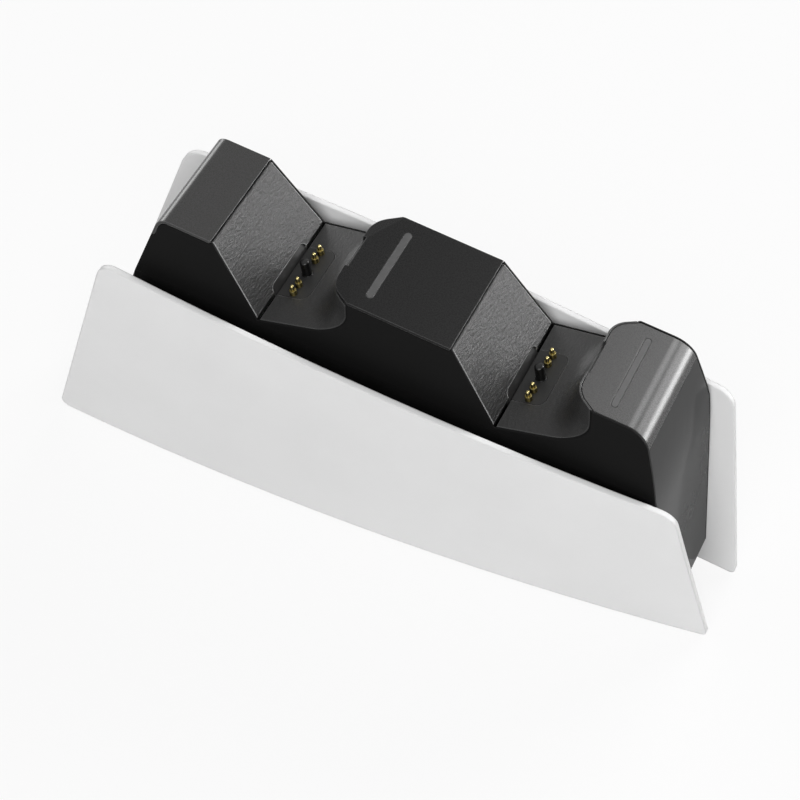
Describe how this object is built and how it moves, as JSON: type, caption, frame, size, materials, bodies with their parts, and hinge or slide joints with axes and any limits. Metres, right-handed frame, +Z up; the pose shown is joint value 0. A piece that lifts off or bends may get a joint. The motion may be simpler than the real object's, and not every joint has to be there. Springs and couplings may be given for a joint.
{
  "type": "controller charging dock",
  "caption": "Free-standing charging dock: a black stepped body with open cradles between bowed white side wings, locating posts and sprung brass contacts.",
  "frame": {"origin": "middle of the dock on the surface it stands on", "axes": "+X along the dock towards its low end, +Y to the rear, +Z up"},
  "size_m": [0.265, 0.071, 0.1294],
  "materials": {
    "white_shell": "satin white, moulded",
    "body_black": "fine matt black, moulded",
    "cap_black": "smooth satin black",
    "cradle_grain": "fine spark grain, dark grey",
    "gloss_black": "polished black",
    "light_bar": "smoked diffuser, unlit",
    "connector_black": "satin black",
    "pin_brass": "gold-plated brass",
    "spring_steel": "drawn wire",
    "screw_steel": "zinc-plated",
    "circuit_board": "green solder mask",
    "lamp": "phosphor, unlit",
    "electronics": "moulded packages",
    "inlet_black": "black housing",
    "foot_rubber": "matt, slightly tacky",
    "ballast_steel": "stamped plate"
  },
  "bodies": {
    "dock": {"front_wing": "white_shell", "rear_wing": "white_shell", "front_shell": "body_black", "rear_shell": "body_black", "left_cover": "body_black", "base_cover": "body_black", "centre_cap": "cap_black", "right_cap": "cap_black", "left_backrest": "cradle_grain", "right_backrest": "cradle_grain", "left_cradle": "cradle_grain", "right_cradle": "cradle_grain", "end_panel": "gloss_black", "centre_light_bar": "light_bar", "right_light_bar": "light_bar", "left_connector": "connector_black", "right_connector": "connector_black", "left_post": "connector_black", "right_post": "connector_black", "left_pin_barrels": "pin_brass", "right_pin_barrels": "pin_brass", "left_spring_1": "spring_steel", "left_spring_2": "spring_steel", "left_spring_3": "spring_steel", "left_spring_4": "spring_steel", "right_spring_1": "spring_steel", "right_spring_2": "spring_steel", "right_spring_3": "spring_steel", "right_spring_4": "spring_steel", "connector_screws": "screw_steel", "led_screws": "screw_steel", "wing_screws": "screw_steel", "base_screws": "screw_steel", "board_screws": "screw_steel", "left_contact_board": "circuit_board", "right_contact_board": "circuit_board", "centre_led_board": "circuit_board", "right_led_board": "circuit_board", "main_board": "circuit_board", "centre_lamps": "lamp", "right_lamps": "lamp", "board_components": "electronics", "power_inlet": "inlet_black", "rubber_feet": "foot_rubber", "ballast_plate": "ballast_steel"},
    "left_pin_1": {"left_pin_1": "pin_brass"},
    "left_pin_2": {"left_pin_2": "pin_brass"},
    "left_pin_3": {"left_pin_3": "pin_brass"},
    "left_pin_4": {"left_pin_4": "pin_brass"},
    "right_pin_1": {"right_pin_1": "pin_brass"},
    "right_pin_2": {"right_pin_2": "pin_brass"},
    "right_pin_3": {"right_pin_3": "pin_brass"},
    "right_pin_4": {"right_pin_4": "pin_brass"}
  },
  "joints": [
    {"name": "left_pin_1_press", "type": "slide", "parent": "dock", "child": "left_pin_1", "axis": [0.1788, 0, -0.9839], "range_m": [0, 0.0015], "stiffness_N_per_m": 600, "springref_m": -0.0008, "deforming": ["left_spring_1"]},
    {"name": "left_pin_2_press", "type": "slide", "parent": "dock", "child": "left_pin_2", "axis": [0.1788, 0, -0.9839], "range_m": [0, 0.0015], "stiffness_N_per_m": 600, "springref_m": -0.0008, "deforming": ["left_spring_2"]},
    {"name": "left_pin_3_press", "type": "slide", "parent": "dock", "child": "left_pin_3", "axis": [0.1788, 0, -0.9839], "range_m": [0, 0.0015], "stiffness_N_per_m": 600, "springref_m": -0.0008, "deforming": ["left_spring_3"]},
    {"name": "left_pin_4_press", "type": "slide", "parent": "dock", "child": "left_pin_4", "axis": [0.1788, 0, -0.9839], "range_m": [0, 0.0015], "stiffness_N_per_m": 600, "springref_m": -0.0008, "deforming": ["left_spring_4"]},
    {"name": "right_pin_1_press", "type": "slide", "parent": "dock", "child": "right_pin_1", "axis": [0.1788, 0, -0.9839], "range_m": [0, 0.0015], "stiffness_N_per_m": 600, "springref_m": -0.0008, "deforming": ["right_spring_1"]},
    {"name": "right_pin_2_press", "type": "slide", "parent": "dock", "child": "right_pin_2", "axis": [0.1788, 0, -0.9839], "range_m": [0, 0.0015], "stiffness_N_per_m": 600, "springref_m": -0.0008, "deforming": ["right_spring_2"]},
    {"name": "right_pin_3_press", "type": "slide", "parent": "dock", "child": "right_pin_3", "axis": [0.1788, 0, -0.9839], "range_m": [0, 0.0015], "stiffness_N_per_m": 600, "springref_m": -0.0008, "deforming": ["right_spring_3"]},
    {"name": "right_pin_4_press", "type": "slide", "parent": "dock", "child": "right_pin_4", "axis": [0.1788, 0, -0.9839], "range_m": [0, 0.0015], "stiffness_N_per_m": 600, "springref_m": -0.0008, "deforming": ["right_spring_4"]}
  ]
}
